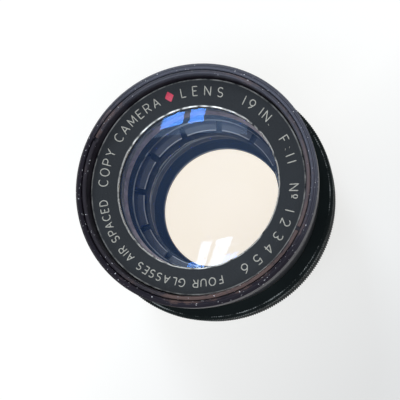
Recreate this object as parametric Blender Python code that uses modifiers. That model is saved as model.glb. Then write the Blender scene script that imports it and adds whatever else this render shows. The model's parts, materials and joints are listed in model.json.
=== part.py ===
"""Barrel-mounted process lens: 19 inch, f/11, four air-spaced glasses and an iris.

The optical axis is +Z, with the front of the lens up. The lens stands on its
rear rim, whose middle is the origin. Every outline below is a list of
(radius, height) pairs in millimetres; the meshes are in metres.
"""

import math

import bmesh
import bpy
from mathutils import Matrix, Vector

# ---------------------------------------------------------------- dimensions
MM = 0.001
SEGMENTS = 40            # facets round every turned ring
GLASS_SEGMENTS = 32      # facets round every glass
FIT = 0.3                # gap between neighbouring pieces

LENGTH = 60.0            # rear rim to front rim
RIM_R = 39.1             # outside of the front rim
GRIP_R = 42.5            # outside of the knurled aperture ring
BARREL_R = 37.6          # barrel where the aperture scale is, and the rim's sleeve
SLEEVE_R = 36.0          # neck of the barrel, inside the rim's sleeve
JOURNAL_R = 36.4         # barrel under the aperture ring
MOUNT_R = 34.5           # mounting thread behind the board seat
SEAT_R = 38.8            # board seat

NAME_FACE = 55.8         # high, outer edge of the name ring's sloping face
NAME_LIP = 52.9          # underside of the name ring's lip, over the front glass
NECK_TOP = 51.9          # front end of the barrel and of the front cell
SLEEVE_BOTTOM = 45.3     # rear end of the rim's sleeve
SCALE_BOTTOM = 35.3      # rear edge of the band that carries the aperture scale
GRIP_BOTTOM = 22.5       # rear face of the aperture ring
BOARD_SEAT = 19.2        # rear face of the ring that bears on a lens board
GRIP_TOP = SCALE_BOTTOM - FIT

GLASS_R = 27.0           # edge radius of every glass
CELL_BORE_R = 27.35      # bore that the glasses drop into
CELL_LIP_R = 24.6        # lip that stops them
CELL_R = 34.0            # outside of the front cell
CHAMBER_R = 32.5         # bore round the iris
CHAMBER_TOP = 33.0       # front end of that bore

# Iris: long crescent blades, pivoted at one end and driven at the other.
BLADES = 12
PITCH = 360.0 / BLADES
PIN_CIRCLE_R = 26.5      # circle of the pivot pins, and of the drive pins at rest
OPEN_R = 22.3            # inner edge of the blades when fully open
BLADE_OUTER_R = 30.5
BLADE_SPAN = 142.8       # degrees from pivot pin to drive pin
BLADE_TAIL = 8.0         # degrees of blade beyond each pin
BLADE_RISE = 0.8 / 30.0  # each blade climbs this much for a degree of its arc
BLADE_THICK = 0.1
BLADE_TIP = 0.8          # half the width of a blade's blunt ends
BLADE_PIVOT_Z = 26.0     # underside of a blade at its pivot
PIN_R = 0.5
PIN_PLAY = 0.25          # a pivot hole's radius over its pin's
PIN_SINK = 0.3           # how far a pin stops short of the face behind it
SLOT_WIDTH = 2.1         # radial slots of the drive ring
RING_TURN = 74.4         # degrees from full aperture to the smallest stop

PLATE_BOTTOM, PLATE_TOP = 24.3, 25.5
PLATE_BORE_R = 22.7      # bore of the base plate and of the drive ring
DRIVE_BOTTOM, DRIVE_TOP = 30.6, 32.0
SKIRT_BOTTOM = 26.2
SKIRT_R, SKIRT_BORE_R = 32.1, 31.1

# Screws: radius of the circle they stand on or the height they lie at, and their places
PLATE_SCREW_CIRCLE_R = 30.2
PLATE_SCREW_R = 0.8
PLATE_SCREWS = (15.0, 135.0, 255.0)
RIM_SCREW_Z = 48.6
RIM_SCREW_R = 1.1
RIM_SCREWS = (30.0, 150.0, 270.0)
DRIVE_SCREW_Z = 28.0
DRIVE_SCREW_R = 0.9
DRIVE_HEAD_R = 1.9
DRIVE_SCREW_AT = 180.0   # degrees round the barrel, iris fully open
DRIVER_SLOT_WIDTH = 0.45
DRIVER_SLOT_DEPTH = 0.6
LOCK_NOTCHES = (-26.0, 154.0)
RETAINER_NOTCHES = (0.0, 180.0)

# Colours
BLACK_ENAMEL = (0.018, 0.018, 0.022, 1)
WORN_ENAMEL = (0.030, 0.026, 0.034, 1)
SLATE = (0.040, 0.045, 0.055, 1)
BLACK_ANODISE = (0.012, 0.014, 0.015, 1)
BLUED_STEEL = (0.05, 0.055, 0.07, 1)
CLEAR = (0.9, 0.95, 1.0, 1)


# ------------------------------------------------------------------- helpers
def clear_scene():
    for obj in list(bpy.data.objects):
        bpy.data.objects.remove(obj, do_unlink=True)


def new_collection(name):
    found = bpy.data.collections.new(name)
    bpy.context.scene.collection.children.link(found)
    return found


def make_material(name, colour, roughness, metallic, transmission=0.0):
    found = bpy.data.materials.new(name)
    found.use_nodes = True
    shader = found.node_tree.nodes["Principled BSDF"]
    shader.inputs["Base Color"].default_value = colour
    shader.inputs["Roughness"].default_value = roughness
    shader.inputs["Metallic"].default_value = metallic
    shader.inputs["Transmission Weight"].default_value = transmission
    found.diffuse_color = colour
    return found


def on_circle(radius, degrees, height=0.0):
    angle = math.radians(degrees)
    return Vector((radius * math.cos(angle), radius * math.sin(angle), height)) * MM


def add_object(name, mesh, material=None):
    """A piece if it has a material, otherwise a cutter."""
    obj = bpy.data.objects.new(name, mesh)
    if material:
        parts.objects.link(obj)
        obj.data.materials.append(material)
    else:
        cutters.objects.link(obj)
        obj.hide_render = True
        obj.display_type = "WIRE"
    return obj


def settle(obj):
    """Turn the evaluated shape into the object's own mesh, shaded by angle."""
    graph = bpy.context.evaluated_depsgraph_get()
    mesh = bpy.data.meshes.new_from_object(obj.evaluated_get(graph))
    mesh.name = obj.name
    obj.modifiers.clear()
    obj.data = mesh
    mesh.shade_smooth()
    mesh.set_sharp_from_angle(angle=math.radians(30))


def turned(name, outline, material, segments=SEGMENTS, closed=True):
    """A turned piece. The outline runs down the outer side, then back up inside."""
    mesh = bpy.data.meshes.new(name)
    points = [(radius * MM, 0.0, height * MM) for radius, height in outline]
    edges = [(i, i + 1) for i in range(len(points) - 1)]
    if closed:
        edges.append((len(points) - 1, 0))
    mesh.from_pydata(points, edges, [])
    obj = add_object(name, mesh, material)
    screw = obj.modifiers.new("Turn", "SCREW")
    screw.axis = "Z"
    screw.angle = math.tau
    screw.steps = segments
    screw.render_steps = segments
    screw.use_merge_vertices = True
    screw.merge_threshold = 0.00001
    settle(obj)
    return obj


def box_matrix(size, centre):
    return Matrix.Translation(Vector(centre) * MM) @ Matrix.Diagonal((*(Vector(size) * MM), 1))


def box_cutter(name, boxes):
    """One cutter of several boxes: (size xyz, centre radius, centre height, degrees)."""
    mesh = bpy.data.meshes.new(name)
    shape = bmesh.new()
    for size, radius, height, degrees in boxes:
        turn = Matrix.Rotation(math.radians(degrees), 4, "Z")
        bmesh.ops.create_cube(shape, size=1.0, matrix=turn @ box_matrix(size, (radius, 0, height)))
    shape.to_mesh(mesh)
    shape.free()
    return add_object(name, mesh)


def rod_cutter(name, rods, sides=12):
    """One cutter of several rods: (start, end, radius)."""
    mesh = bpy.data.meshes.new(name)
    shape = bmesh.new()
    for start, end, radius in rods:
        along = end - start
        turn = along.to_track_quat("Z", "Y").to_matrix().to_4x4()
        bmesh.ops.create_cone(shape, cap_ends=True, segments=sides, radius1=radius * MM,
                              radius2=radius * MM, depth=along.length,
                              matrix=Matrix.Translation((start + end) / 2) @ turn)
    shape.to_mesh(mesh)
    shape.free()
    return add_object(name, mesh)


def combine(obj, tool, operation):
    modifier = obj.modifiers.new(operation.title(), "BOOLEAN")
    modifier.operation = operation
    modifier.solver = "EXACT"
    modifier.object = tool


def cut(obj, tool):
    combine(obj, tool, "DIFFERENCE")


def radial(radius, degrees, height):
    """Where a piece stands that points straight out from the lens's axis."""
    outward = on_circle(1, degrees).to_track_quat("Z", "Y").to_matrix().to_4x4()
    return Matrix.Translation(on_circle(radius, degrees, height)) @ outward


def upright(radius, degrees, height):
    return Matrix.Translation(on_circle(radius, degrees, height))


def slotted_screw(name, outline, place, material):
    """A screw turned from its driven end down to its tip, with a driver slot."""
    screw = turned(name, outline, material, 12, closed=False)
    screw.matrix_world = place
    widest, length = outline[1]
    mesh = bpy.data.meshes.new(name + "_driver_slot")
    shape = bmesh.new()
    size = (3 * widest, DRIVER_SLOT_WIDTH, 2 * DRIVER_SLOT_DEPTH)
    bmesh.ops.create_cube(shape, size=1.0, matrix=box_matrix(size, (0, 0, length)))
    shape.to_mesh(mesh)
    shape.free()
    slot = add_object(name + "_driver_slot", mesh)
    slot.matrix_world = place
    cut(screw, slot)


def sag(radius, curve):
    """How far a sphere of radius `curve` falls at `radius` from its pole."""
    return curve - math.sqrt(curve * curve - radius * radius)


def surface(edge_height, curve, steps=3):
    """A glass surface, from the axis to its edge; a negative curve is hollow upward."""
    rise = math.copysign(1, curve)
    vertex = edge_height + rise * sag(GLASS_R, abs(curve))
    radii = [GLASS_R * i / steps for i in range(steps + 1)]
    return [(r, vertex - rise * sag(r, abs(curve))) for r in radii]


def glass(name, top_edge, top_curve, bottom_edge, bottom_curve, material):
    """A glass: each curve is positive where its surface is convex."""
    upper = surface(top_edge, top_curve)
    lower = surface(bottom_edge, -bottom_curve)
    turned(name, upper + lower[::-1], material, GLASS_SEGMENTS, closed=False)


# ---------------------------------------------------------------- front group
def build_front(materials):
    """The rim with its sleeve, the rings it holds, and the cell with two glasses."""
    rim = turned("front_rim", [
        (38.1, LENGTH), (RIM_R, 59.2), (RIM_R, 54.0), (BARREL_R, 52.4),
        (BARREL_R, SLEEVE_BOTTOM), (36.3, SLEEVE_BOTTOM), (36.3, NECK_TOP), (37.0, NECK_TOP),
        (37.0, 59.7), (37.3, LENGTH)], materials["worn_enamel"])

    lock = turned("lock_ring", [
        (36.4, 59.4), (36.7, 59.1), (36.7, 55.1), (35.5, 55.1), (35.5, 58.9),
        (35.8, 59.4)], materials["worn_enamel"])
    notches = [((3.0, 1.6, 2.0), 36.1, 59.6, degrees) for degrees in LOCK_NOTCHES]
    cut(lock, box_cutter("spanner_notches", notches))

    turned("name_ring", [
        (35.0, NAME_FACE), (35.2, 55.6), (35.2, 54.8), (36.7, 54.8), (36.7, 52.2),
        (CELL_BORE_R, 52.2), (CELL_BORE_R, NAME_LIP), (26.4, NAME_LIP), (26.4, 53.2),
        (27.3, 53.6)], materials["slate"])

    turned("front_cell", [
        (CELL_R, NECK_TOP), (CELL_R, 33.3), (28.0, 33.3), (28.0, 35.9), (CELL_LIP_R, 35.9),
        (CELL_LIP_R, 36.7), (CELL_BORE_R, 36.7), (CELL_BORE_R, NECK_TOP)],
        materials["black"])

    glass("front_positive_lens", 52.5, 150.0, 49.6, 250.0, materials["glass"])
    glass("front_negative_lens", 42.3, -100.0, 37.0, -1200.0, materials["glass"])
    turned("front_spacer", [
        (GLASS_R, 49.3), (GLASS_R, 42.6), (25.2, 42.6), (26.3, 46.5), (26.3, 49.2)],
        materials["black"])
    return rim


# ----------------------------------------------------------------- rear group
def build_rear(materials):
    """The rear cell, its two glasses, and the ring that keeps them in."""
    turned("rear_cell", [
        (31.0, 22.6), (31.0, 5.7), (34.2, 5.7), (34.2, 0.6), (33.6, 0.0),
        (31.0, 0.0), (28.4, 3.5), (28.4, 10.6), (CELL_BORE_R, 10.6),
        (CELL_BORE_R, 21.9), (CELL_LIP_R, 21.9), (CELL_LIP_R, 22.6)],
        materials["black"])

    glass("rear_negative_lens", 21.6, -1200.0, 16.3, -100.0, materials["glass"])
    glass("rear_positive_lens", 13.1, 250.0, 10.2, 150.0, materials["glass"])
    turned("rear_spacer", [
        (GLASS_R, 16.0), (GLASS_R, 13.4), (25.2, 13.5), (25.2, 16.0)],
        materials["black"])
    retainer = turned("rear_retaining_ring", [
        (28.1, 9.8), (28.1, 5.0), (26.4, 5.0), (22.8, 7.9), (22.8, 9.1), (27.0, 9.8)],
        materials["black"])
    notches = [((3.2, 1.6, 2.0), 27.2, 5.0, degrees) for degrees in RETAINER_NOTCHES]
    cut(retainer, box_cutter("rear_spanner_notches", notches))


# --------------------------------------------------------------------- barrel
def build_barrel(materials, rim):
    barrel = turned("main_barrel", [
        (SLEEVE_R, NECK_TOP), (SLEEVE_R, SLEEVE_BOTTOM - FIT),
        (BARREL_R, SLEEVE_BOTTOM - FIT), (BARREL_R, SCALE_BOTTOM),
        (JOURNAL_R, SCALE_BOTTOM), (JOURNAL_R, 22.2), (MOUNT_R, 22.2), (MOUNT_R, 6.6),
        (34.0, 6.0), (31.3, 6.0), (31.3, 22.9), (27.9, 22.9), (27.9, 24.0),
        (CHAMBER_R, 24.0), (CHAMBER_R, CHAMBER_TOP), (34.3, CHAMBER_TOP), (34.3, NECK_TOP)],
        materials["black"])

    # The slot lets the drive screw travel; it is a pie piece of a thin ring.
    margin = math.degrees((DRIVE_SCREW_R + FIT) / CHAMBER_R) + 0.6
    slot = ring_sector("drive_screw_slot", CHAMBER_R - 1, BARREL_R + 1,
                       DRIVE_SCREW_Z - DRIVE_SCREW_R - FIT,
                       DRIVE_SCREW_Z + DRIVE_SCREW_R + FIT,
                       DRIVE_SCREW_AT - margin, DRIVE_SCREW_AT + RING_TURN + margin)
    cut(barrel, slot)

    holes = [(on_circle(PLATE_SCREW_CIRCLE_R, degrees, 22.0),
              on_circle(PLATE_SCREW_CIRCLE_R, degrees, 26.0), PLATE_SCREW_R + FIT)
             for degrees in PLATE_SCREWS]
    cut(barrel, rod_cutter("plate_screw_holes", holes))

    holes = [(on_circle(SLEEVE_R - 3, degrees, RIM_SCREW_Z),
              on_circle(BARREL_R + 2, degrees, RIM_SCREW_Z), RIM_SCREW_R + FIT)
             for degrees in RIM_SCREWS]
    rim_holes = rod_cutter("rim_screw_holes", holes)
    cut(barrel, rim_holes)
    cut(rim, rim_holes)
    outline = [(0, 2.8), (RIM_SCREW_R, 2.8), (RIM_SCREW_R, 0), (0, 0)]
    for number, degrees in enumerate(RIM_SCREWS, 1):
        slotted_screw("rim_lock_screw_%d" % number, outline,
                      radial(34.7, degrees, RIM_SCREW_Z), materials["steel"])

    turned("board_seat_ring", [
        (38.4, 21.9), (SEAT_R, 21.5), (SEAT_R, 19.6), (38.4, BOARD_SEAT),
        (34.8, BOARD_SEAT), (34.8, 21.9)], materials["black"])


def ring_sector(name, inner, outer, bottom, top, start, end):
    """A cutter shaped as part of a flat ring, turned from `start` to `end` degrees."""
    mesh = bpy.data.meshes.new(name)
    corners = [(inner, top), (inner, bottom), (outer, bottom), (outer, top)]
    mesh.from_pydata([on_circle(radius, start, height) for radius, height in corners],
                     [], [range(4)])
    sector = add_object(name, mesh)
    screw = sector.modifiers.new("Turn", "SCREW")
    screw.axis = "Z"
    screw.angle = math.radians(end - start)
    screw.steps = 12
    screw.render_steps = 12
    settle(sector)
    close_ends(sector.data)
    return sector


def close_ends(mesh):
    """Close the ends of a part turn and point every face outward."""
    shape = bmesh.new()
    shape.from_mesh(mesh)
    bmesh.ops.remove_doubles(shape, verts=shape.verts, dist=0.000001)
    loose = [edge for edge in shape.edges if len(edge.link_faces) == 1]
    bmesh.ops.holes_fill(shape, edges=loose)
    bmesh.ops.recalc_face_normals(shape, faces=shape.faces)
    shape.to_mesh(mesh)
    shape.free()


# ------------------------------------------------------------------------ iris
def blade_sheet():
    """A crescent sheet that climbs along its arc, with its pivot at the origin."""
    middle = (OPEN_R + BLADE_OUTER_R) / 2
    half_width = (BLADE_OUTER_R - OPEN_R) / 2
    start, end = -BLADE_TAIL, BLADE_SPAN + BLADE_TAIL
    mesh = bpy.data.meshes.new("iris_blade")
    shape = bmesh.new()
    bmesh.ops.create_grid(shape, x_segments=20, y_segments=1, size=0.5)
    for vertex in shape.verts:
        degrees = start + (vertex.co.x + 0.5) * (end - start)
        to_end = math.radians(min(degrees - start, end - degrees)) * middle
        missing = half_width - min(to_end, half_width)
        width = max(BLADE_TIP, math.sqrt(half_width ** 2 - missing ** 2))
        point = on_circle(middle - 2 * width * vertex.co.y, degrees, degrees * BLADE_RISE)
        vertex.co = point - on_circle(PIN_CIRCLE_R, 0)
    shape.to_mesh(mesh)
    shape.free()
    return mesh


def build_blade_mesh(material):
    """The blade, with a pin down at its pivot and a pin up at its driven end."""
    blade = add_object("iris_blade_shape", blade_sheet(), material)
    solid = blade.modifiers.new("Sheet", "SOLIDIFY")
    solid.thickness = BLADE_THICK * MM
    solid.offset = 1.0
    settle(blade)

    overlap = BLADE_THICK * 0.6      # how far each pin runs into the sheet
    centre = on_circle(PIN_CIRCLE_R, 0)
    driven = on_circle(PIN_CIRCLE_R, BLADE_SPAN) - centre
    up = Vector((0, 0, MM))
    pivot_low = PLATE_BOTTOM + PIN_SINK - BLADE_PIVOT_Z
    driven_low = BLADE_SPAN * BLADE_RISE + BLADE_THICK - overlap
    driven_high = DRIVE_TOP - PIN_SINK - BLADE_PIVOT_Z
    pins = [(up * pivot_low, up * overlap, PIN_R),
            (driven + up * driven_low, driven + up * driven_high, PIN_R)]
    combine(blade, rod_cutter("blade_pins", pins, 8), "UNION")
    settle(blade)
    mesh = blade.data
    bpy.data.objects.remove(blade)
    return mesh


def build_iris(materials):
    plate = turned("iris_base_plate", [
        (CHAMBER_R - FIT, PLATE_TOP), (CHAMBER_R - FIT, PLATE_BOTTOM),
        (PLATE_BORE_R, PLATE_BOTTOM), (PLATE_BORE_R, PLATE_TOP)], materials["black"])
    low, high = PLATE_BOTTOM - 1, PLATE_TOP + 1
    holes = [(on_circle(PIN_CIRCLE_R, number * PITCH, low),
              on_circle(PIN_CIRCLE_R, number * PITCH, high), PIN_R + PIN_PLAY)
             for number in range(BLADES)]
    holes += [(on_circle(PLATE_SCREW_CIRCLE_R, degrees, low),
               on_circle(PLATE_SCREW_CIRCLE_R, degrees, high), PLATE_SCREW_R + FIT)
              for degrees in PLATE_SCREWS]
    cut(plate, rod_cutter("base_plate_holes", holes, 8))
    outline = [(0, 2.4), (PLATE_SCREW_R, 2.4), (PLATE_SCREW_R, 0), (0, 0)]
    for number, degrees in enumerate(PLATE_SCREWS, 1):
        slotted_screw("iris_plate_screw_%d" % number, outline,
                      upright(PLATE_SCREW_CIRCLE_R, degrees, 23.0), materials["steel"])

    blade_mesh = build_blade_mesh(materials["steel"])
    for number in range(BLADES):
        blade = bpy.data.objects.new("iris_blade_%02d" % (number + 1), blade_mesh)
        parts.objects.link(blade)
        blade.location = on_circle(PIN_CIRCLE_R, number * PITCH, BLADE_PIVOT_Z)
        blade.rotation_euler.z = math.radians(number * PITCH)

    drive = turned("iris_drive_ring", [
        (SKIRT_R, DRIVE_TOP), (SKIRT_R, SKIRT_BOTTOM), (SKIRT_BORE_R, SKIRT_BOTTOM),
        (SKIRT_BORE_R, DRIVE_BOTTOM), (PLATE_BORE_R, DRIVE_BOTTOM),
        (PLATE_BORE_R, DRIVE_TOP)], materials["black"])
    slot_start, slot_end = PLATE_BORE_R - 1.4, PIN_CIRCLE_R + PIN_R + 0.35
    slots = [((slot_end - slot_start, SLOT_WIDTH, 4.0), (slot_end + slot_start) / 2,
              (DRIVE_TOP + DRIVE_BOTTOM) / 2, number * PITCH + BLADE_SPAN)
             for number in range(BLADES)]
    cut(drive, box_cutter("drive_slots", slots))

    turned("iris_retainer", [
        (CHAMBER_R - FIT, CHAMBER_TOP), (CHAMBER_R - FIT, DRIVE_TOP + FIT),
        (28.6, DRIVE_TOP + FIT), (28.6, CHAMBER_TOP)], materials["black"])
    return drive


# --------------------------------------------------------------- aperture ring
def build_aperture_ring(materials, drive_ring):
    """The knurled ring, and the screw that carries its turn to the iris."""
    ring = turned("aperture_ring", [
        (41.2, GRIP_TOP), (GRIP_R, GRIP_TOP - 1.1), (GRIP_R, GRIP_BOTTOM + 0.4),
        (42.1, GRIP_BOTTOM), (36.85, GRIP_BOTTOM), (36.85, GRIP_TOP)],
        materials["grip"])
    start = on_circle(SKIRT_BORE_R - 1, DRIVE_SCREW_AT, DRIVE_SCREW_Z)
    seat = on_circle(40.0, DRIVE_SCREW_AT, DRIVE_SCREW_Z)
    end = on_circle(GRIP_R + 1, DRIVE_SCREW_AT, DRIVE_SCREW_Z)
    hole = rod_cutter("drive_screw_hole", [(start, end, DRIVE_SCREW_R + FIT)])
    cut(ring, hole)
    cut(ring, rod_cutter("drive_screw_counterbore", [(seat, end, DRIVE_HEAD_R + FIT)], 16))
    cut(drive_ring, hole)
    length, neck = 10.5, 8.9
    slotted_screw("drive_screw", [
        (0, length), (DRIVE_HEAD_R, length), (DRIVE_HEAD_R, neck), (DRIVE_SCREW_R, neck),
        (DRIVE_SCREW_R, 0), (0, 0)], radial(31.4, DRIVE_SCREW_AT, DRIVE_SCREW_Z),
        materials["steel"])


# ------------------------------------------------------------------------ main
clear_scene()
parts = new_collection("process_lens")
cutters = new_collection("process_lens_cutters")

palette = {
    "black": make_material("black_enamel", BLACK_ENAMEL, 0.45, 0.2),
    "worn_enamel": make_material("worn_enamel", WORN_ENAMEL, 0.4, 0.5),
    "slate": make_material("slate_enamel", SLATE, 0.6, 0.1),
    "grip": make_material("black_anodise", BLACK_ANODISE, 0.5, 0.3),
    "steel": make_material("blued_steel", BLUED_STEEL, 0.35, 0.9),
    "glass": make_material("coated_glass", CLEAR, 0.02, 0.0, 1.0),
}
build_barrel(palette, build_front(palette))
build_rear(palette)
build_aperture_ring(palette, build_iris(palette))
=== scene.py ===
"""Looks of a barrel-mounted 19 inch f/11 process lens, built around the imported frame.

The optical axis is +Z and the lens stands on its rear rim. A corner of an outline is
(radius, height, rounding, wear): millimetres, and how far its edge is rubbed bare.
"""
import json
import math

import bmesh
import bpy
from mathutils import Matrix, Vector
from mathutils.kdtree import KDTree


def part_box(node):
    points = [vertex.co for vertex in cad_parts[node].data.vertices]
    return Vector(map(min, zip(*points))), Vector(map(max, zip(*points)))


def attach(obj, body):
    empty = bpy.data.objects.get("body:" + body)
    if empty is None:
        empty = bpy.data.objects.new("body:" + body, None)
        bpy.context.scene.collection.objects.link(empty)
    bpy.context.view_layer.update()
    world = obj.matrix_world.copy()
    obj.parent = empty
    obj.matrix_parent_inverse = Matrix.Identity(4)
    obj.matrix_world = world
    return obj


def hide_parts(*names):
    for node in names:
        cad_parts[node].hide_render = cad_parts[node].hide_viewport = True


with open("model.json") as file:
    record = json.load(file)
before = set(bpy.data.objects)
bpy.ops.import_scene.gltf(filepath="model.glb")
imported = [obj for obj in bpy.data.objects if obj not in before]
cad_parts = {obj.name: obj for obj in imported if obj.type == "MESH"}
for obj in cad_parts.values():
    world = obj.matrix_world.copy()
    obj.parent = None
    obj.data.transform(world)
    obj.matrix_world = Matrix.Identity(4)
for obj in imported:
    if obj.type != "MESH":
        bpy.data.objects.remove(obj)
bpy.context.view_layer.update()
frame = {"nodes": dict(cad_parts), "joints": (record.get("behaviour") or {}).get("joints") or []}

# -------- sizes, millimetres
MM = 0.001
FINE = 256  # steps round a turned piece
EDGE = 0.12  # usual rounding of a turned edge
ROUND_STEPS = 5  # pieces of the curve that rounds a corner
WEAR_FADE = 0.35  # how far the rubbed band reaches from an edge
SHARP = math.radians(40)  # edges sharper than this stay sharp in shading


def top(node):
    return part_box(node)[1].z / MM


def bottom(node):
    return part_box(node)[0].z / MM


def outer(node):
    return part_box(node)[1].x / MM


RIM_TOP, RIM_R = top("front_rim"), outer("front_rim")
SLEEVE_BOTTOM = bottom("front_rim")  # rear end of the rim's sleeve
NECK_TOP = top("main_barrel")  # front end of the barrel and of the front cell
BARREL_R = outer("main_barrel")  # sleeve, and the band with the aperture scale
CELL_R = outer("front_cell")
CELL_BORE_R, CELL_LIP_R = 27.35, 24.6  # bore round the glasses, and the lip that stops them
GLASS_R = 27.0  # edge of every glass and spacer
SEAT_TOP, SEAT_BOTTOM = top("board_seat_ring"), bottom("board_seat_ring")
SEAT_R = outer("board_seat_ring")
GRIP_TOP, GRIP_BOTTOM = top("aperture_ring"), bottom("aperture_ring")
GRIP_R, GRIP_BORE_R = outer("aperture_ring"), 36.85
CHAMBER_R, CHAMBER_TOP = 32.5, 33.0  # bore round the iris, and its front end
PAST_RIM_R, PAST_GRIP_R = 40.0, 44.0  # how far out the cuts through a wall reach
BLADES = sum(name.startswith("iris_blade_") for name in frame["nodes"])
RING_TURN = max(joint["range_deg"][1] for joint in frame["joints"]
                if joint["name"] == "aperture_turn")

# Iris, as the CAD has it
PITCH = 360 / BLADES
PIN_CIRCLE_R, PIN_R = 26.5, 0.5  # pivot pins, and drive pins at rest
OPEN_R, BLADE_OUTER_R = 22.3, 30.5  # edges of the blades when fully open
BLADE_SPAN, BLADE_TAIL = 142.8, 8.0  # degrees between a blade's pins, and beyond each
BLADE_TIP = 0.8  # half the width of a blade's blunt ends
BLADE_RISE = 0.8 / 30.0  # a blade climbs this much for a degree of its arc
BLADE_THICK, BLADE_PIVOT_Z = 0.1, 26.0
PLATE_BORE_R = 22.7  # bore of the base plate and of the drive ring
DRIVE_SLOT = (21.3, 27.35, 2.1)  # from radius, to radius, width

# Screws and notches: degrees round the lens, heights, and radii of their holes
DRIVE_SCREW_AT, DRIVE_SCREW_Z, DRIVE_HOLE_R = 180.0, 28.0, 1.1
RIM_SCREWS, RIM_SCREW_Z, RIM_HOLE_R = (30.0, 150.0, 270.0), 48.6, 1.3
LOCK_NOTCHES, RETAINER_NOTCHES, SEAT_NOTCHES = (-26.0, 154.0), (0, 180), (0, 90, 180, 270)

# Camera
VIEW_TILT, VIEW_TURN = 17.3, 142.1  # degrees off the axis, and round it
FOCAL_PX, FRAME_PX, SENSOR = 700.0, 400.0, 36.0
RIM_IN_VIEW = Vector((-2.7, -5.85, 218.4))  # rim centre, camera right, down, ahead


# -------- small helpers
def on_circle(radius, degrees, height=0.0):
    angle = math.radians(degrees)
    return Vector((radius * math.cos(angle), radius * math.sin(angle), height)) * MM


def radial(radius, degrees, height):
    """Where a piece stands that points straight out from the optical axis."""
    outward = on_circle(1, degrees).normalized().to_track_quat("Z", "Y")
    return Matrix.Translation(on_circle(radius, degrees, height)) @ outward.to_matrix().to_4x4()


def link_object(name, data):
    obj = bpy.data.objects.new(name, data)
    bpy.context.scene.collection.objects.link(obj)
    return obj


def baked(name, shape):
    """The mesh of a bmesh, which is freed."""
    mesh = bpy.data.meshes.new(name)
    shape.to_mesh(mesh)
    shape.free()
    return mesh


def add_mesh(name, mesh, material, body, *nodes):
    obj = link_object(name, mesh)
    mesh.materials.append(material)
    finish_piece(obj, body, *nodes)
    return obj


def finish_piece(obj, body, *nodes):
    """Ride on a body and stand for CAD nodes, which are hidden."""
    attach(obj, body)
    if nodes:
        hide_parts(*nodes)


def settle(obj):
    """Replace the mesh by its evaluated shape and shade it by angle."""
    graph = bpy.context.evaluated_depsgraph_get()
    mesh = bpy.data.meshes.new_from_object(obj.evaluated_get(graph))
    obj.modifiers.clear()
    obj.data = mesh
    shade_by_angle(mesh)


def shade_by_angle(mesh):
    mesh.shade_smooth()
    mesh.set_sharp_from_angle(angle=SHARP)


def cut(obj, tool):
    modifier = obj.modifiers.new("Cut", "BOOLEAN")
    modifier.operation = "DIFFERENCE"
    modifier.solver = "EXACT"
    modifier.object = tool
    settle(obj)
    bpy.data.objects.remove(tool)


def tool_object(build):
    """A loose object for one cut, filled by build(bmesh)."""
    shape = bmesh.new()
    build(shape)
    return link_object("tool", baked("tool", shape))


def box_tool(boxes):
    """(size xyz, centre radius, centre height, degrees) for each box."""
    def build(shape):
        for size, radius, height, degrees in boxes:
            place = Matrix.Rotation(math.radians(degrees), 4, "Z")
            place = place @ Matrix.Translation(Vector((radius, 0, height)) * MM)
            scale = Matrix.Diagonal((size[0] * MM, size[1] * MM, size[2] * MM, 1))
            bmesh.ops.create_cube(shape, size=1.0, matrix=place @ scale)
    return tool_object(build)


def through(inner, outside, degrees, height, radius):
    """A rod straight out from the axis, from one radius to another."""
    return on_circle(inner, degrees, height), on_circle(outside, degrees, height), radius


def rod_tool(rods, sides=32):
    """(start, end, radius) for each rod."""
    def build(shape):
        for start, end, radius in rods:
            turn = (end - start).to_track_quat("Z", "Y").to_matrix().to_4x4()
            bmesh.ops.create_cone(shape, cap_ends=True, segments=sides, radius1=radius * MM,
                                  radius2=radius * MM, depth=(end - start).length,
                                  matrix=Matrix.Translation((start + end) / 2) @ turn)
    return tool_object(build)


# -------- outlines and lathe
def rounded(outline):
    """Corners (radius, height, rounding, wear) to points (radius, height, wear)."""
    points = []
    for i, corner in enumerate(outline):
        here = Vector(corner[:2])
        rounding, wear = corner[2], corner[3]
        if rounding <= 0:
            points.append((here.x, here.y, wear))
            continue
        before = Vector(outline[i - 1][:2]) - here
        after = Vector(outline[(i + 1) % len(outline)][:2]) - here
        reach = min(rounding, before.length * 0.45, after.length * 0.45)
        start = here + before.normalized() * reach
        end = here + after.normalized() * reach
        if before.length > reach + 2.5 * WEAR_FADE:
            far = start + before.normalized() * WEAR_FADE
            points.append((far.x, far.y, 0.0))
        for step in range(ROUND_STEPS + 1):
            s = step / ROUND_STEPS
            p = start * (1 - s) ** 2 + here * 2 * s * (1 - s) + end * s * s
            points.append((p.x, p.y, wear))
        if after.length > reach + 2.5 * WEAR_FADE:
            far = end + after.normalized() * WEAR_FADE
            points.append((far.x, far.y, 0.0))
    return points


def corners(*items, wear=0.5):
    """Fill in the usual rounding and wear where a corner leaves them out."""
    full = []
    for item in items:
        given = list(item) + [None] * (4 - len(item))
        full.append((given[0], given[1],
                     EDGE if given[2] is None else given[2],
                     wear if given[3] is None else given[3]))
    return full


def thread(radius, depth, start, end, pitch=0.75, wear=0.8):
    """Corners of a V thread from height start to height end; depth inward if positive.

    Each turn has its crest from 10 to 30% of the pitch and its root from 60 to 80%.
    """
    turns = max(1, int(abs(end - start) / pitch))
    step = (end - start) / turns
    found = []
    for turn in range(turns):
        low = start + turn * step
        found += [(radius, low + 0.10 * step, 0, wear), (radius, low + 0.30 * step, 0, wear),
                  (radius - depth, low + 0.60 * step, 0, 0.0),
                  (radius - depth, low + 0.80 * step, 0, 0.0)]
    return found


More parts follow.
